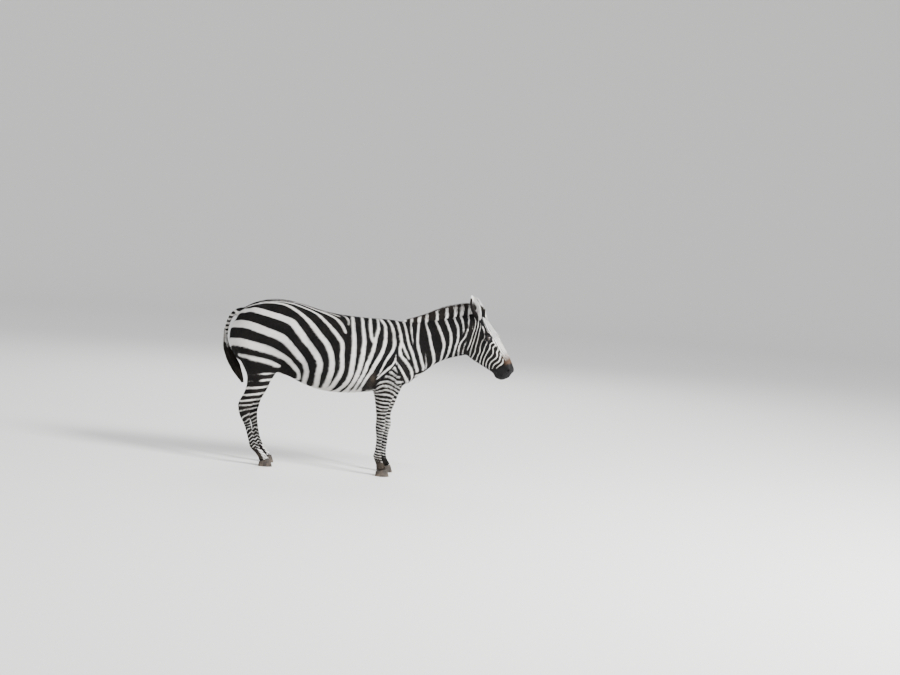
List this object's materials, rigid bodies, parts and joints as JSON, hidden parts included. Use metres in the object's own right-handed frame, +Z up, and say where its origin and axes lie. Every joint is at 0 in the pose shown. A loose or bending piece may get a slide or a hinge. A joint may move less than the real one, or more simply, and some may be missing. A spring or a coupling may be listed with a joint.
{
  "type": "zebra",
  "caption": "Life-size plains zebra standing with its head lowered and turned a little to its right, upright mane and tufted tail.",
  "frame": {"origin": "on the floor under the centre of the whole animal's bounding box", "axes": "+X towards the head, +Y to the animal's left, +Z up"},
  "size_m": [2.4306, 0.5796, 1.5172],
  "materials": {
    "coat": "short striped fur, black-brown on cream",
    "ear_fur": "short pale fur with dark rim and tip",
    "mane_hair": "stiff upright hair, striped like the neck",
    "hoof_horn": "worn dull horn",
    "eye": "wet and dark"
  },
  "bodies": {
    "root": {"trunk": "coat", "neck": "coat", "head": "coat", "ear_right": "ear_fur", "ear_left": "ear_fur", "eye_right": "eye", "eye_left": "eye", "mane": "mane_hair", "tail": "coat", "tail_tuft": "mane_hair", "leg_front_right": "coat", "leg_front_left": "coat", "leg_hind_right": "coat", "leg_hind_left": "coat", "hoof_front_right": "hoof_horn", "hoof_front_left": "hoof_horn", "hoof_hind_right": "hoof_horn", "hoof_hind_left": "hoof_horn"}
  },
  "joints": []
}
